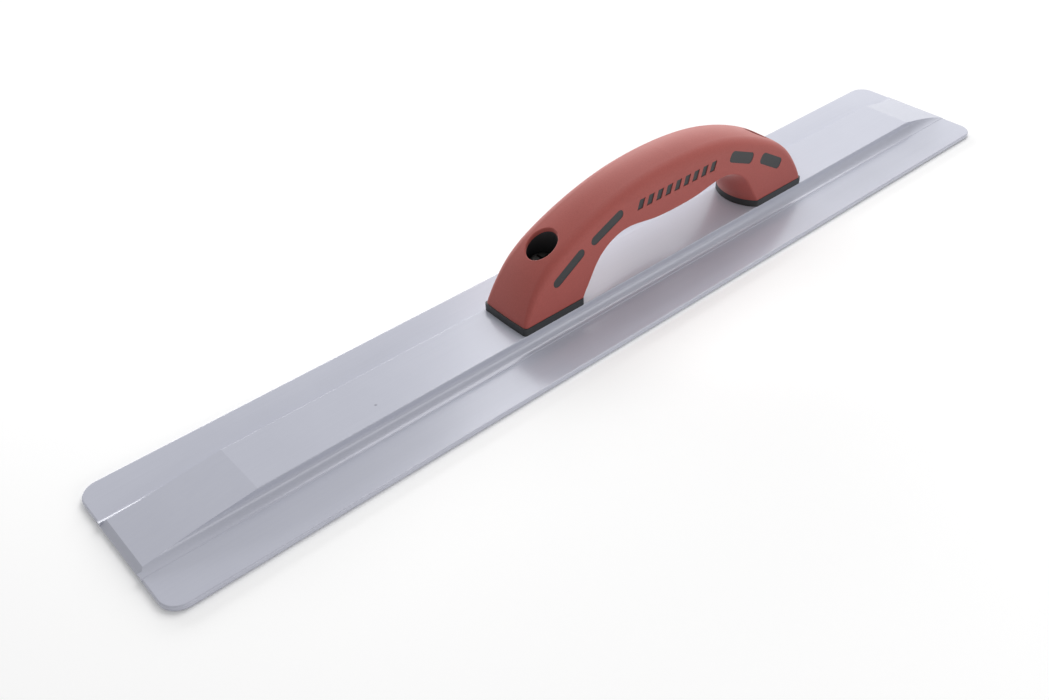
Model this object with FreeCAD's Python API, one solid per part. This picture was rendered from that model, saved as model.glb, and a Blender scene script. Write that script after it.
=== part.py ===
import FreeCAD, Part
import os
from math import sin, cos, atan2, radians, sqrt, hypot
from FreeCAD import Vector

os.makedirs("parts", exist_ok=True)

# Hand float: a long magnesium blade with a raised rib, and one bow handle on the rib.
# X runs along the blade, +Y is its back edge, +Z is up. The origin is the middle of the sole.
# All lengths are in millimetres.

# Blade, an extruded bar
blade_length = 508.0
blade_width = 79.4
flange_thickness = 2.6
blade_corner_radius = 8.5
edge_round = 0.7

# Raised rib along the middle of the blade
rib_height = 9.5
rib_top_width = 28.6
rib_corner_radius = 0.4
cove_radius = 4.3
cove_step_height = 0.22
cove_step_run = 0.3

# Rib ends, milled down to the flange
near_ramp_length = 51.0
near_ramp_end_height = 4.4
near_ramp_setback = 2.7
near_bevel_width = 32.4
near_bevel_foot_height = 1.9
far_ramp_length = 32.0

# Handle position along the blade, and its overall sizes
handle_offset = 27.2
foot_end_x = 96.4
foot_length = 35.0
pad_thickness = 3.8
pad_overhang = 0.2
grip_width = 26.2
skin_thickness = 2.2
handle_width = rib_top_width - 2 * pad_overhang

# Crest line of the handle: how far in from the foot's end, and how far above the rib
heel_in = 3.3
heel_rise = 11.5
haunch_in = 11.2
haunch_rise = 23.3
shoulder_in = 30.2
shoulder_rise = 36.2
flank_in = 63.8
flank_rise = 48.2
crown_rise = 51.7

# Lower edge line of the handle: how far in from the foot's end, and how far above the rib
shin_in = 38.7
shin_rise = 9.3
knee_in = 45.1
knee_rise = 19.4
turn_in = 52.8
turn_rise = 25.6
arch_top_in = 60.7
arch_top_rise = 28.2
belly_flank_x = 16.5
belly_flank_rise = 26.2
belly_rise = 25.2

# Roundness of the handle's cross-section
foot_bulge = 6.0
grip_bulge = 3.6
arch_edge_radius = 1.3
foot_dome = 0.3
grip_dome = 3.8
foot_corner_radius = 1.4
grip_corner_radius = 6.6
tightest_radius = 0.5
section_count = 28
sections_past_crown = 3

# Screws, and the holes they stand in
screw_in = 23.3
driver_hole_radius = 7.2
hole_lip_radius = 0.5
seat_rise = 20.5
screw_clearance = 0.25
thread_clearance = 0.05
shank_radius = 3.175
thread_depth = 7.4
thread_end_gap = 0.6
head_radius = 5.8
head_height = 3.6
head_dome_radius = 1.6
recess_width = 1.3
recess_span = 7.4
recess_depth = 2.2
tip_chamfer = 0.6
seat_height = rib_height + seat_rise

# Marks on both sides of the handle, where the core stands through the skin
window_recess = 0.12
bar_recess = 0.35
slot_length = 21.2
slot_width = 5.1
outer_window_in = 27.2
outer_window_rise = 23.5
outer_window_tilt = 31.0
inner_window_in = 50.7
inner_window_rise = 34.3
inner_window_tilt = 23.5
window_length = 18.8
window_width = 6.0
window_corner_radius = 2.2
bar_count = 9
bar_pitch = 6.1
bar_width = 3.6
bar_height = 5.2
bar_slant = 1.5
bar_row_x = 0.2
bar_row_rise = 37.5

tiny = 0.01
reach = 200.0


def box(x0, x1, y0, y1, z0, z1):
    """Plain block between two corners."""
    return Part.makeBox(x1 - x0, y1 - y0, z1 - z0, Vector(x0, y0, z0))


def prism_along_y(points, y0, y1):
    """Straight-sided block from a closed outline in the XZ plane."""
    corners = [Vector(x, y0, z) for x, z in points]
    face = Part.Face(Part.makePolygon(corners + corners[:1]))
    return face.extrude(Vector(0, y1 - y0, 0))


def rib_side_points():
    """Half-profile of the rib: where the wall, the cove and the step begin and end."""
    wall_y = rib_top_width / 2
    step_z = flange_thickness + cove_step_height
    cove_end_y = wall_y + cove_radius
    cove_start_z = step_z + cove_radius
    return wall_y, cove_start_z, cove_end_y, step_z


def make_blade_bar():
    """Extrude the blade's cross-section: flat sole, thin flanges and the raised rib."""
    half = blade_width / 2
    wall_y, cove_z, cove_y, step_z = rib_side_points()
    start = Vector(-blade_length / 2, 0, 0)

    def at(y, z):
        return start + Vector(0, y, z)

    def cove_middle(side):
        slant = cove_radius * cos(radians(45))
        return at(side * (cove_y - slant), cove_z - slant)

    def corner_middle(side):
        slant = rib_corner_radius * (1 - cos(radians(45)))
        return at(side * (wall_y - slant), rib_height - slant)

    def half_outline(side):
        foot = at(side * (cove_y + cove_step_run), flange_thickness)
        lip = at(side * cove_y, step_z)
        wall = at(side * wall_y, cove_z)
        wall_top = at(side * wall_y, rib_height - rib_corner_radius)
        top = at(side * (wall_y - rib_corner_radius), rib_height)
        return [
            Part.makeLine(at(0, 0), at(side * half, 0)),
            Part.makeLine(at(side * half, 0), at(side * half, flange_thickness)),
            Part.makeLine(at(side * half, flange_thickness), foot),
            Part.makeLine(foot, lip),
            Part.Arc(lip, cove_middle(side), wall).toShape(),
            Part.makeLine(wall, wall_top),
            Part.Arc(wall_top, corner_middle(side), top).toShape(),
            Part.makeLine(top, at(0, rib_height)),
        ]

    edges = half_outline(1) + half_outline(-1)
    wire = Part.Wire(Part.__sortEdges__(edges))
    return Part.Face(wire).extrude(Vector(blade_length, 0, 0))


def round_plan_corners(bar):
    """Cut the bar's four corners to a radius, seen from above."""
    r = blade_corner_radius
    plan = box(-blade_length / 2, blade_length / 2, -blade_width / 2, blade_width / 2, -1, rib_height + 1)
    upright = [e for e in plan.Edges if abs(e.BoundBox.ZLength - rib_height - 2) < tiny]
    return bar.common(plan.makeFillet(r, upright))


def cut_rib_ends(bar):
    """Mill the rib down to a ramp at each end, with a steep bevel at the near end."""
    end = blade_length / 2
    over = blade_width / 2
    top = rib_height + 5
    flush = flange_thickness

    near_drop = rib_height - near_ramp_end_height
    near_slope = near_drop / (near_ramp_length - near_ramp_setback)
    near_x = -end + near_ramp_length
    near = prism_along_y(
        [(near_x, rib_height), (near_x, top), (-end - 1, top),
         (-end - 1, rib_height - near_slope * (near_ramp_length + 1))], -over, over)

    far_slope = (rib_height - flush) / far_ramp_length
    far_x = end - far_ramp_length
    far = prism_along_y(
        [(far_x, rib_height), (far_x, top), (end + 1, top),
         (end + 1, rib_height - far_slope * (far_ramp_length + 1))], -over, over)
    clear_of_flange = box(-end - 2, end + 2, -over, over, flush, top + 1)
    bar = bar.cut(near.common(clear_of_flange)).cut(far.common(clear_of_flange))

    run = near_ramp_setback
    rise = near_ramp_end_height - near_bevel_foot_height
    bevel = prism_along_y(
        [(-end - 1, near_bevel_foot_height - rise / run), (-end + run + 1, near_ramp_end_height + rise / run),
         (-end - 1, near_ramp_end_height + rise / run + 1)], -near_bevel_width / 2, near_bevel_width / 2)
    return bar.cut(bevel)


def screw_positions():
    """Centres of the two screws along the blade."""
    reach_out = foot_end_x - screw_in
    return handle_offset - reach_out, handle_offset + reach_out


def make_blade():
    """The magnesium blade, with its two blind tapped holes."""
    blade = cut_rib_ends(round_plan_corners(make_blade_bar()))
    depth = thread_depth + thread_end_gap
    for x in screw_positions():
        hole = Part.makeCylinder(shank_radius + thread_clearance, depth + 1, Vector(x, 0, rib_height - depth))
        blade = blade.cut(hole)
    return round_blade_edges(blade)


def round_blade_edges(blade):
    """Take the sharpness off the rim of the blade: all round the sole, and along the flanges."""
    rim = []
    for e in blade.Edges:
        b = e.BoundBox
        on_sole = b.ZMax < tiny
        on_flange = b.ZLength < tiny and abs(b.ZMin - flange_thickness) < tiny
        if (on_sole and is_rim(e)) or (on_flange and is_rim(e) and not is_end(e)):
            rim.append(e)
    return blade.makeFillet(edge_round, rim)


def is_end(edge):
    """True for a straight edge across one of the blade's two ends."""
    b = edge.BoundBox
    return b.XLength < tiny and min(abs(b.XMin + blade_length / 2), abs(b.XMax - blade_length / 2)) < tiny


def is_rim(edge):
    """True for an edge that lies on the blade's outline, seen from above."""
    middle = edge.valueAt((edge.FirstParameter + edge.LastParameter) / 2)
    x = abs(middle.x)
    y = abs(middle.y)
    corner_x = blade_length / 2 - blade_corner_radius
    corner_y = blade_width / 2 - blade_corner_radius
    off_corner = abs(hypot(x - corner_x, y - corner_y) - blade_corner_radius)
    on_corner = x > corner_x and y > corner_y and off_corner < tiny
    return abs(y - blade_width / 2) < tiny or on_corner or is_end(edge)


def profile_curve(half_points, crown):
    """Smooth bow through points given for one half, mirrored about the handle's middle."""
    left = [Vector(-x, 0, z) for x, z in half_points]
    right = [Vector(x, 0, z) for x, z in reversed(half_points)]
    curve = Part.BSplineCurve()
    curve.interpolate(Points=left + [Vector(0, 0, crown)] + right,
                      InitialTangent=Vector(0, 0, 1), FinalTangent=Vector(0, 0, -1))
    return curve


def crest_points():
    """Crest line from the foot up to the flank."""
    steps = [(0, 0), (heel_in, heel_rise), (haunch_in, haunch_rise), (shoulder_in, shoulder_rise),
             (flank_in, flank_rise)]
    return [(foot_end_x - run, rib_height + rise) for run, rise in steps]


def arch_points():
    """Lower edge line from the foot up to the belly."""
    steps = [(foot_length, 0), (shin_in, shin_rise), (knee_in, knee_rise), (turn_in, turn_rise),
             (arch_top_in, arch_top_rise)]
    points = [(foot_end_x - run, rib_height + rise) for run, rise in steps]
    return points + [(belly_flank_x, rib_height + belly_flank_rise)]


def rounded_end(w, tip, sagitta, r, sense):
    """Arched end of a cross-section that is 2w wide, with corners of radius r.
    Gives the corner's start on the side, its middle, and where it meets the arch."""
    big = (w * w + sagitta * sagitta) / (2 * sagitta)
    centre = tip - sense * big
    corner = centre + sense * sqrt((big - r) ** 2 - (w - r) ** 2)
    grow = big / (big - r)
    meet = ((w - r) * grow, centre + (corner - centre) * grow)
    turn = (radians(90) - atan2(w - r, abs(corner - centre))) / 2
    middle = (w - r + r * cos(turn), corner + sense * r * sin(turn))
    return (w, corner), middle, meet


def handle_section(outer, inner, share, inset):
    """Closed cross-section between a crest point and an arch point.
    share is 0 at the feet and 1 at the crown; inset shrinks it all round. The width and the
    crest's corners change fast near the feet (ease), the bulge and the dome evenly."""
    along = (outer - inner).normalize()
    ease = 1 - (1 - share) ** 3
    w = (handle_width + (grip_width - handle_width) * ease) / 2 - inset
    bulge = foot_bulge + (grip_bulge - foot_bulge) * share
    dome = foot_dome + (grip_dome - foot_dome) * share
    crest_radius = foot_corner_radius + (grip_corner_radius - foot_corner_radius) * ease
    high = (outer - inner).Length - inset
    upper = rounded_end(w, high, dome, max(crest_radius - inset, tightest_radius), 1)
    lower = rounded_end(w, inset - bulge, bulge, max(arch_edge_radius - inset, tightest_radius), -1)

    def at(point, side):
        return inner + along * point[1] + Vector(0, side * point[0], 0)

    def arc(a, b, c):
        return Part.Arc(a, b, c).toShape()

    up_side, up_mid, up_meet = upper
    low_side, low_mid, low_meet = lower
    return Part.Wire([
        arc(at(low_meet, -1), at((0, inset - bulge), 1), at(low_meet, 1)),
        arc(at(low_meet, 1), at(low_mid, 1), at(low_side, 1)),
        Part.makeLine(at(low_side, 1), at(up_side, 1)),
        arc(at(up_side, 1), at(up_mid, 1), at(up_meet, 1)),
        arc(at(up_meet, 1), at((0, high), 1), at(up_meet, -1)),
        arc(at(up_meet, -1), at(up_mid, -1), at(up_side, -1)),
        Part.makeLine(at(up_side, -1), at(low_side, -1)),
        arc(at(low_side, -1), at(low_mid, -1), at(low_meet, -1)),
    ])


def make_bow(inset):
    """Solid bow of the handle, standing on the rib; inset makes the smaller bow inside it.
    One half is lofted to a little past the crown, cut at the crown and mirrored."""
    crest = profile_curve(crest_points(), rib_height + crown_rise)
    arch = profile_curve(arch_points(), rib_height + belly_rise)
    sections = []
    for k in range(section_count // 2 + sections_past_crown + 1):
        f = k / section_count
        outer = crest.value(crest.FirstParameter + f * (crest.LastParameter - crest.FirstParameter))
        inner = arch.value(arch.FirstParameter + f * (arch.LastParameter - arch.FirstParameter))
        share = 1 - abs(2 * f - 1)
        sections.append(handle_section(outer, inner, share, inset))
    half = Part.makeLoft(sections, True, False)
    half = half.common(box(-reach, 0, -reach, reach, 0, reach))
    bow = half.fuse(half.mirror(Vector(0, 0, 0), Vector(1, 0, 0)))
    bow.translate(Vector(handle_offset, 0, 0))
    return bow.Solids[0]


def make_pads():
    """Flat hard feet of the handle, a little wider than the bow that stands on them."""
    wide = handle_section(Vector(-foot_end_x - pad_overhang, 0, rib_height),
                          Vector(foot_length - foot_end_x, 0, rib_height), 0, -pad_overhang)
    near = Part.Face(wide).extrude(Vector(0, 0, pad_thickness))
    far = near.mirror(Vector(0, 0, 0), Vector(1, 0, 0))
    near.translate(Vector(handle_offset, 0, 0))
    far.translate(Vector(handle_offset, 0, 0))
    return near, far


def tilted(shape, tilt, x, rise):
    """Turn a level cutter about Y and move it to its place on the handle."""
    shape.rotate(Vector(0, 0, 0), Vector(0, 1, 0), -tilt)
    shape.translate(Vector(handle_offset + x, 0, rib_height + rise))
    return shape


def window_block(length, width, corner):
    """Cutter for one window: a long block through the handle with rounded corners."""
    plan = box(-length / 2, length / 2, -reach, reach, -width / 2, width / 2)
    along = [e for e in plan.Edges if e.BoundBox.YLength > reach]
    return plan.makeFillet(corner, along)


def bar_block():
    """Cutter for one slanted bar of the row on the grip."""
    lean = bar_slant / 2
    half = bar_width / 2
    high = bar_height / 2
    return prism_along_y([(-half - lean, -high), (half - lean, -high),
                          (half + lean, high), (-half + lean, high)], -reach, reach)


def window_cutters():
    """The two slots near one foot and the two windows near the other."""
    outer_x = foot_end_x - outer_window_in
    inner_x = foot_end_x - inner_window_in
    slot = window_block(slot_length, slot_width, slot_width / 2 - tiny)
    window = window_block(window_length, window_width, window_corner_radius)
    return [
        tilted(slot.copy(), outer_window_tilt, -outer_x, outer_window_rise),
        tilted(slot.copy(), inner_window_tilt, -inner_x, inner_window_rise),
        tilted(window.copy(), -inner_window_tilt, inner_x, inner_window_rise),
        tilted(window.copy(), -outer_window_tilt, outer_x, outer_window_rise),
    ]


def bar_cutters():
    """The row of slanted bars along the grip."""
    first = bar_row_x - bar_pitch * (bar_count - 1) / 2
    return [tilted(bar_block(), 0, first + k * bar_pitch, bar_row_rise) for k in range(bar_count)]


def above(height):
    """Everything higher than a level."""
    return box(-reach, reach + handle_offset, -reach, reach, height, reach)


def driver_holes(radius, bottom):
    """Upright holes over both screws."""
    return [Part.makeCylinder(radius, reach, Vector(x, 0, bottom)) for x in screw_positions()]


def make_core(core_bow):
    """Hard moulded core with its feet, its screw seats and the parts that fill the windows."""
    near, far = make_pads()
    window_level = make_bow(window_recess)
    bar_level = make_bow(bar_recess)
    plugs = [window_level.common(cutter) for cutter in window_cutters()]
    plugs += [bar_level.common(cutter) for cutter in bar_cutters()]
    core = core_bow.common(above(rib_height + pad_thickness / 2))
    core = core.multiFuse([near, far] + plugs)
    holes = driver_holes(driver_hole_radius, seat_height) + driver_holes(shank_radius + screw_clearance, 0)
    return core.cut(holes)


def make_skin(core_bow):
    """Soft skin moulded over the core, open at the feet, the windows and the driver holes."""
    openings = window_cutters() + bar_cutters() + driver_holes(driver_hole_radius, seat_height)
    outer_bow = make_bow(0)
    skin = outer_bow.common(above(rib_height + pad_thickness))
    return round_hole_rims(skin.cut([core_bow] + openings), outer_bow)


def on_hole_wall(point):
    """True for a point on the wall of either driver hole."""
    return any(abs(hypot(point.x - x, point.y) - driver_hole_radius) < tiny for x in screw_positions())


def round_hole_rims(skin, outer_bow):
    """Soften the lip of the skin around each driver hole."""
    surface = outer_bow.Shells[0]
    rims = []
    for e in skin.Edges:
        middle = e.valueAt((e.FirstParameter + e.LastParameter) / 2)
        if on_hole_wall(middle) and surface.distToShape(Part.Vertex(middle))[0] < tiny:
            rims.append(e)
    return skin.makeFillet(hole_lip_radius, rims)


def make_screw(x):
    """Pan-head screw with a cross recess, its thread shown as a plain shank."""
    tip = rib_height - thread_depth
    shank = Part.makeCylinder(shank_radius, seat_height - tip + head_height / 2, Vector(x, 0, tip))
    shank = chamfer_tip(shank, tip)
    head = Part.makeCylinder(head_radius, head_height, Vector(x, 0, seat_height))
    rim = [e for e in head.Edges if abs(e.BoundBox.ZMin - seat_height - head_height) < tiny
           and e.BoundBox.XLength > head_radius]
    head = head.makeFillet(head_dome_radius, rim)
    screw = head.fuse(shank)
    top = seat_height + head_height
    w = recess_width / 2
    s = recess_span / 2
    screw = screw.cut(box(x - w, x + w, -s, s, top - recess_depth, top + 1))
    screw = screw.cut(box(x - s, x + s, -w, w, top - recess_depth, top + 1))
    return screw.removeSplitter()


def chamfer_tip(shank, tip):
    """Bevel the lower end of a screw's shank."""
    end = [e for e in shank.Edges if e.BoundBox.ZMax < tip + tiny]
    return shank.makeChamfer(tip_chamfer, end)


def keep(name, shape):
    """Write one piece as its own solid."""
    solids = shape.Solids
    if len(solids) != 1 or not solids[0].isValid():
        raise RuntimeError(name + " isn't one valid solid: " + str(len(solids)))
    solids[0].exportStep("parts/" + name + ".step")


near_x, far_x = screw_positions()
core_bow = make_bow(skin_thickness)
keep("blade", make_blade())
keep("handle_core", make_core(core_bow))
keep("grip_skin", make_skin(core_bow))
keep("near_screw", make_screw(near_x))
keep("far_screw", make_screw(far_x))
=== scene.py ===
from math import radians

import bpy
from mathutils import Matrix, Vector


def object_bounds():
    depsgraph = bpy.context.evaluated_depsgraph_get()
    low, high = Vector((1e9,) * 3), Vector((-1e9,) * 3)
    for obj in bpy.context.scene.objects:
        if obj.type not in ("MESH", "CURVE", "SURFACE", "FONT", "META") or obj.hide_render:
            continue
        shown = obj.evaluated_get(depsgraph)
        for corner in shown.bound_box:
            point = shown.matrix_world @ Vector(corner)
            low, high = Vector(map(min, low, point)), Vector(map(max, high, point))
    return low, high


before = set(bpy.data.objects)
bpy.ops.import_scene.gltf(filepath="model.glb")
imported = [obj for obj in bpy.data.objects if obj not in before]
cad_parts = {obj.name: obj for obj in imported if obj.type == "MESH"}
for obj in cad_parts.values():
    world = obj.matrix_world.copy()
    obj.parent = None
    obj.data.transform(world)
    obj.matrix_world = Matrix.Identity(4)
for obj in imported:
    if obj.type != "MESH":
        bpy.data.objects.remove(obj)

cad_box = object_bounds()
sole_height = cad_box[0][2]


# ---- Blade ----
# One bar of magnesium alloy, pushed through a die that gives it its flanges and rib, then
# milled down at both ends and tapped for two screws. It is left bare, so the metal has a thin
# pale oxide: a lavender grey that scatters most light, under a soft shine.

def linear(hex_colour):
    """sRGB hex to the linear colour that shaders take."""
    channels = [int(hex_colour[i:i + 2], 16) / 255 for i in (1, 3, 5)]
    return [c / 12.92 if c <= 0.04045 else ((c + 0.055) / 1.055) ** 2.4 for c in channels] + [1.0]


def add(tree, kind, settings=None, links=None):
    """Add one node: settings by property or input, links from an input to another node's output."""
    node = tree.nodes.new(kind)
    for name, value in (settings or {}).items():
        if isinstance(name, str) and hasattr(node, name):
            setattr(node, name, value)
        else:
            node.inputs[name].default_value = value
    for name, output in (links or {}).items():
        tree.links.new(output, node.inputs[name])
    return node


def new_material(name):
    """An empty node material, and its tree."""
    material = bpy.data.materials.new(name)
    material.use_nodes = True
    material.node_tree.nodes.clear()
    return material, material.node_tree


def dress(node_name, material):
    """Give a CAD node one material all over."""
    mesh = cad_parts[node_name].data
    mesh.materials.clear()
    mesh.materials.append(material)


# Extruded magnesium, bare: the oxide makes it a pale lavender grey and hides nearly all of the
# metal's own mirror. The die leaves fine lines along the bar, and handling leaves faint cloudy
# patches and a few dark specks.
magnesium, tree = new_material("magnesium_alloy_extruded_bare")
place = add(tree, "ShaderNodeTexCoord").outputs["Object"]
line_spacing = 0.0012  # real die lines are about 0.3 mm apart, drawn wider so that they show
cloud_size = 0.045
speck_spacing = 0.016
speck_core = 0.025  # where a speck starts to fade and where it ends, as shares of the spacing
speck_rim = 0.06
speck_share = 0.12
lines_place = add(tree, "ShaderNodeMapping", {"Scale": (0.02, 1, 1)}, {"Vector": place})
lines = add(tree, "ShaderNodeTexNoise", {"Scale": 1 / line_spacing, "Detail": 2.0, "Roughness": 0.6},
            {"Vector": lines_place.outputs["Vector"]})
clouds = add(tree, "ShaderNodeTexNoise", {"Scale": 1 / cloud_size, "Detail": 4.0, "Roughness": 0.55},
             {"Vector": place})
specks = add(tree, "ShaderNodeTexVoronoi", {"Scale": 1 / speck_spacing, "Randomness": 1.0}, {"Vector": place})
speck_edge = add(tree, "ShaderNodeMapRange",
                 {"From Min": speck_core, "From Max": speck_rim, "To Min": 1.0, "To Max": 0.0},
                 {"Value": specks.outputs["Distance"]})
speck_rare = add(tree, "ShaderNodeSeparateColor", links={"Color": specks.outputs["Color"]})
speck_on = add(tree, "ShaderNodeMath", {"operation": "LESS_THAN", 1: speck_share},
               {0: speck_rare.outputs["Red"]})
speck_mask = add(tree, "ShaderNodeMath", {"operation": "MULTIPLY"},
                 {0: speck_edge.outputs["Result"], 1: speck_on.outputs["Value"]})
tone = add(tree, "ShaderNodeMix", {"data_type": "RGBA", 6: linear("#B5B7C3"), 7: linear("#BBBDC9")},
           {0: clouds.outputs["Fac"]})
lined = add(tree, "ShaderNodeMix", {"data_type": "RGBA", "blend_type": "OVERLAY", 0: 0.03},
            {6: tone.outputs[2], 7: lines.outputs["Fac"]})
speckled = add(tree, "ShaderNodeMix", {"data_type": "RGBA", 7: linear("#80828E")},
               {0: speck_mask.outputs["Value"], 6: lined.outputs[2]})
smoothest = 0.19
roughest = 0.23
shine = add(tree, "ShaderNodeMapRange",
            {"From Min": 0.3, "From Max": 0.7, "To Min": smoothest, "To Max": roughest},
            {"Value": clouds.outputs["Fac"]})
relief = add(tree, "ShaderNodeBump", {"Strength": 0.02, "Distance": 0.0001}, {"Height": lines.outputs["Fac"]})
shader = add(tree, "ShaderNodeBsdfPrincipled", {"Metallic": 0.05},
             {"Base Color": speckled.outputs[2], "Roughness": shine.outputs["Result"],
              "Normal": relief.outputs["Normal"]})
add(tree, "ShaderNodeOutputMaterial", links={"Surface": shader.outputs["BSDF"]})
dress("blade", magnesium)


# ---- Handle core ----
# The hard inner half of the handle, moulded from glass-filled nylon. It shows only where the
# skin leaves it bare: the two feet, the small windows in the sides and the screw wells.

# Moulded nylon: charcoal with a fine spark-eroded grain that keeps it matte.
nylon, tree = new_material("nylon_moulded_charcoal")
place = add(tree, "ShaderNodeTexCoord").outputs["Object"]
grain_size = 0.0006
grain = add(tree, "ShaderNodeTexNoise", {"Scale": 1 / grain_size, "Detail": 3.0}, {"Vector": place})
tone = add(tree, "ShaderNodeMix", {"data_type": "RGBA", 6: linear("#222324"), 7: linear("#2B2D2F")},
           {0: grain.outputs["Fac"]})
relief = add(tree, "ShaderNodeBump", {"Strength": 0.25, "Distance": 0.0001}, {"Height": grain.outputs["Fac"]})
shader = add(tree, "ShaderNodeBsdfPrincipled", {"Roughness": 0.5, "IOR": 1.53},
             {"Base Color": tone.outputs[2], "Normal": relief.outputs["Normal"]})
add(tree, "ShaderNodeOutputMaterial", links={"Surface": shader.outputs["BSDF"]})
dress("handle_core", nylon)


# ---- Grip skin ----
# A soft rubber skin about two millimetres thick, moulded over the core in a second shot. It
# wraps the whole bow and stops at the feet, the windows and the lips of the screw wells.

# Thermoplastic rubber: brick red, matte, with a fine pebble grain and a faint bloom at the edges.
rubber, tree = new_material("thermoplastic_rubber_brick_red")
place = add(tree, "ShaderNodeTexCoord").outputs["Object"]
pebble_size = 0.0007
smudge_size = 0.02
pebble = add(tree, "ShaderNodeTexNoise", {"Scale": 1 / pebble_size, "Detail": 2.0}, {"Vector": place})
smudge = add(tree, "ShaderNodeTexNoise", {"Scale": 1 / smudge_size, "Detail": 4.0}, {"Vector": place})
tone = add(tree, "ShaderNodeMix", {"data_type": "RGBA", 6: linear("#9A463F"), 7: linear("#A24C45")},
           {0: smudge.outputs["Fac"]})
speckled = add(tree, "ShaderNodeMix", {"data_type": "RGBA", "blend_type": "OVERLAY", 0: 0.12},
               {6: tone.outputs[2], 7: pebble.outputs["Fac"]})
relief = add(tree, "ShaderNodeBump", {"Strength": 0.3, "Distance": 0.00012},
             {"Height": pebble.outputs["Fac"]})
shader = add(tree, "ShaderNodeBsdfPrincipled",
             {"Roughness": 0.62, "IOR": 1.5, "Sheen Weight": 0.3, "Sheen Roughness": 0.4,
              "Sheen Tint": linear("#FFE4E0")},
             {"Base Color": speckled.outputs[2], "Normal": relief.outputs["Normal"]})
add(tree, "ShaderNodeOutputMaterial", links={"Surface": shader.outputs["BSDF"]})
dress("grip_skin", rubber)


# ---- Screws ----
# Two pan-head machine screws, driven down through the screw wells, through the core's seats
# and into the rib. They are steel with a black phosphate coat.

# Phosphated steel: near black, slightly grained, with a dull shine on the head.
black_steel, tree = new_material("steel_black_phosphate")
place = add(tree, "ShaderNodeTexCoord").outputs["Object"]
crystal_size = 0.0003
crystals = add(tree, "ShaderNodeTexNoise", {"Scale": 1 / crystal_size, "Detail": 2.0}, {"Vector": place})
tone = add(tree, "ShaderNodeMix", {"data_type": "RGBA", 6: linear("#3A3938"), 7: linear("#4A4948")},
           {0: crystals.outputs["Fac"]})
relief = add(tree, "ShaderNodeBump", {"Strength": 0.2, "Distance": 0.0001},
             {"Height": crystals.outputs["Fac"]})
shader = add(tree, "ShaderNodeBsdfPrincipled", {"Metallic": 0.8, "Roughness": 0.45},
             {"Base Color": tone.outputs[2], "Normal": relief.outputs["Normal"]})
add(tree, "ShaderNodeOutputMaterial", links={"Surface": shader.outputs["BSDF"]})
dress("near_screw", black_steel)
dress("far_screw", black_steel)


# ---- Studio ----
# A white paper floor in a white room that is brightest low down beyond the blade's far end. A
# softbox hangs over the far end, a long low strip stands behind and a long low fill in front.
floor_size = 12.0
floor_gap = 0.0001  # keeps the paper and the sole from sharing one plane
bpy.ops.mesh.primitive_plane_add(size=floor_size, location=(0, 0, sole_height - floor_gap))
floor = bpy.context.object
floor.name = "floor"
paper, tree = new_material("white_studio_paper")
softbox_place = Vector((0.46, 0.25, 0.72))
strip_place = Vector((0.12, 0.8, 0.22))
fill_place = Vector((0.15, -0.9, 0.3))


def falloff(distance, reach, power):
    """A light's share of the floor's light: (1 + (distance / reach)^2)^-power."""
    ratio = add(tree, "ShaderNodeMath", {"operation": "DIVIDE", 1: reach}, {0: distance}).outputs["Value"]
    square = add(tree, "ShaderNodeMath", {"operation": "MULTIPLY_ADD", 2: 1.0}, {0: ratio, 1: ratio})
    return add(tree, "ShaderNodeMath", {"operation": "POWER", 1: -power},
               {0: square.outputs["Value"]}).outputs["Value"]


# Paper: matte white, toned a little darker under the lights, so that it stays evenly white. The
# shares are how much of the floor's light comes from the room and from each lamp.
floor_level = 1.06
room_share = 0.686
softbox_share = 0.655
strip_share = 1.528
fill_share = 0.402
strip_reach = 0.35
fill_reach = 0.45
disc_power = 2.0
line_power = 1.5
place = add(tree, "ShaderNodeTexCoord").outputs["Object"]
foot_point = (softbox_place.x, softbox_place.y, 0.0)
away = add(tree, "ShaderNodeVectorMath", {"operation": "DISTANCE", 1: foot_point}, {0: place})
along = add(tree, "ShaderNodeSeparateXYZ", links={"Vector": place}).outputs["Y"]
behind = add(tree, "ShaderNodeMath", {"operation": "SUBTRACT", 1: strip_place.y}, {0: along})
before = add(tree, "ShaderNodeMath", {"operation": "SUBTRACT", 1: fill_place.y}, {0: along})
light = add(tree, "ShaderNodeMath", {"operation": "MULTIPLY_ADD", 1: softbox_share, 2: room_share},
            {0: falloff(away.outputs["Value"], softbox_place.z, disc_power)})
light = add(tree, "ShaderNodeMath", {"operation": "MULTIPLY_ADD", 1: strip_share},
            {0: falloff(behind.outputs["Value"], strip_reach, line_power), 2: light.outputs["Value"]})
light = add(tree, "ShaderNodeMath", {"operation": "MULTIPLY_ADD", 1: fill_share},
            {0: falloff(before.outputs["Value"], fill_reach, line_power), 2: light.outputs["Value"]})
tone = add(tree, "ShaderNodeMath", {"operation": "DIVIDE", 0: floor_level, "use_clamp": True},
           {1: light.outputs["Value"]})
grey = add(tree, "ShaderNodeCombineColor",
           links={channel: tone.outputs["Value"] for channel in ("Red", "Green", "Blue")})
shader = add(tree, "ShaderNodeBsdfPrincipled", {"Roughness": 0.9, "Specular IOR Level": 0.0},
             {"Base Color": grey.outputs["Color"]})
add(tree, "ShaderNodeOutputMaterial", links={"Surface": shader.outputs["BSDF"]})
floor.data.materials.append(paper)

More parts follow.
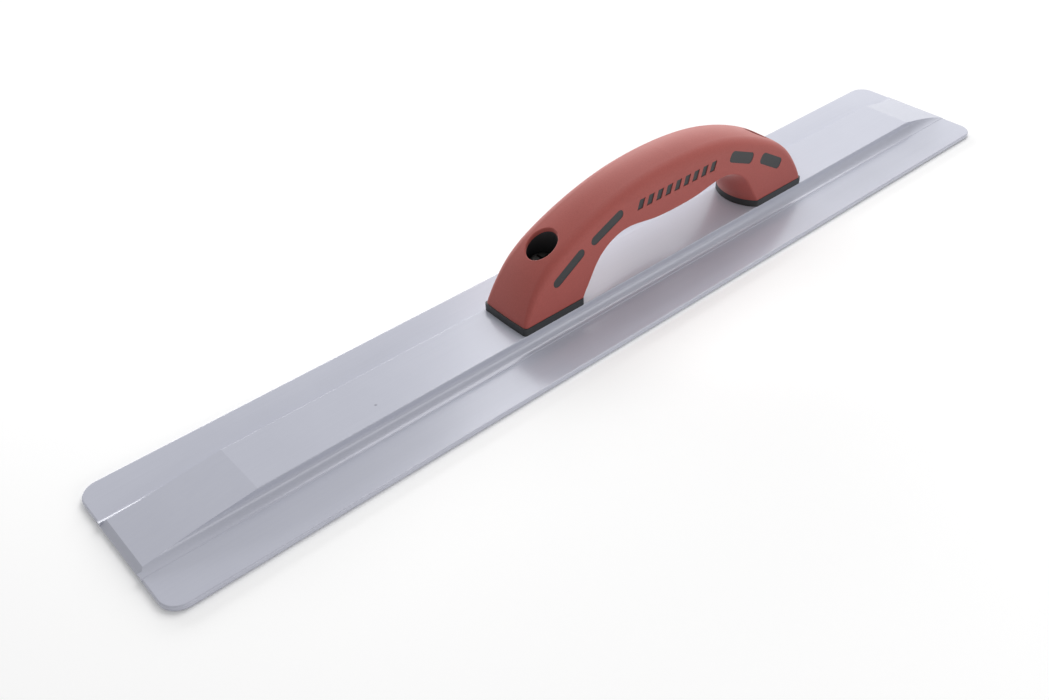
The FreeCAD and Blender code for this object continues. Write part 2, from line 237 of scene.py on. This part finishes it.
scene = bpy.context.scene
world = bpy.data.worlds.new("studio")
scene.world = world
world.use_nodes = True
tree = world.node_tree
tree.nodes.clear()
direction = add(tree, "ShaderNodeTexCoord").outputs["Generated"]
backdrop_direction = (0.819, 0.435, 0.375)
room_level = 0.56
backdrop_level = 1.0
backdrop_spread = 5.0
facing = add(tree, "ShaderNodeVectorMath", {"operation": "DOT_PRODUCT", 1: backdrop_direction},
             {0: direction})
front_half = add(tree, "ShaderNodeMath", {"operation": "MAXIMUM", 1: 0.0}, {0: facing.outputs["Value"]})
lobe = add(tree, "ShaderNodeMath", {"operation": "POWER", 1: backdrop_spread},
           {0: front_half.outputs["Value"]})
strength = add(tree, "ShaderNodeMath", {"operation": "MULTIPLY_ADD", 1: backdrop_level, 2: room_level},
               {0: lobe.outputs["Value"]})
sky = add(tree, "ShaderNodeBackground", links={"Strength": strength.outputs["Value"]})
add(tree, "ShaderNodeOutputWorld", links={"Surface": sky.outputs["Background"]})


def hang(name, place, aim, width, depth, energy, glint):
    """An area light at a place, turned to its aim. Glint is how strongly it shows in a shine."""
    lamp = bpy.data.lights.new(name, "AREA")
    lamp.shape = "RECTANGLE"
    lamp.size = width
    lamp.size_y = depth
    lamp.energy = energy
    lamp.specular_factor = glint
    stand = bpy.data.objects.new(name, lamp)
    scene.collection.objects.link(stand)
    turn = (aim - place).to_track_quat("-Z", "Y").to_matrix().to_4x4()
    stand.matrix_world = Matrix.Translation(place) @ turn


handle_aim = Vector((0.2, 0.0, 0.0))
middle_aim = Vector((0.0, 0.0, 0.0))
hang("softbox", softbox_place, handle_aim, width=0.7, depth=0.7, energy=4.4, glint=1.0)
hang("strip", strip_place, middle_aim, width=1.4, depth=0.2, energy=5.4, glint=0.2)
hang("fill", fill_place, middle_aim, width=1.4, depth=0.3, energy=2.6, glint=0.4)
scene.view_settings.view_transform = "Standard"


# ---- Camera ----
# It stands in front of the near end and looks down along the blade, from about 0.3 m above it.
camera_data = bpy.data.cameras.new("camera")
camera = bpy.data.objects.new("camera", camera_data)
scene.collection.objects.link(camera)
camera_data.sensor_width = 36
camera_data.lens = 37.12
camera_data.shift_x = -0.0282
camera_data.clip_end = 20
position = (-0.3049, -0.3036, 0.3076)
yaw = radians(41.09)
pitch = radians(39.33)
roll = radians(-1.26)
camera.matrix_world = (Matrix.Translation(position) @ Matrix.Rotation(-yaw, 4, "Z")
                       @ Matrix.Rotation(radians(90) - pitch, 4, "X") @ Matrix.Rotation(roll, 4, "Z"))
scene.camera = camera
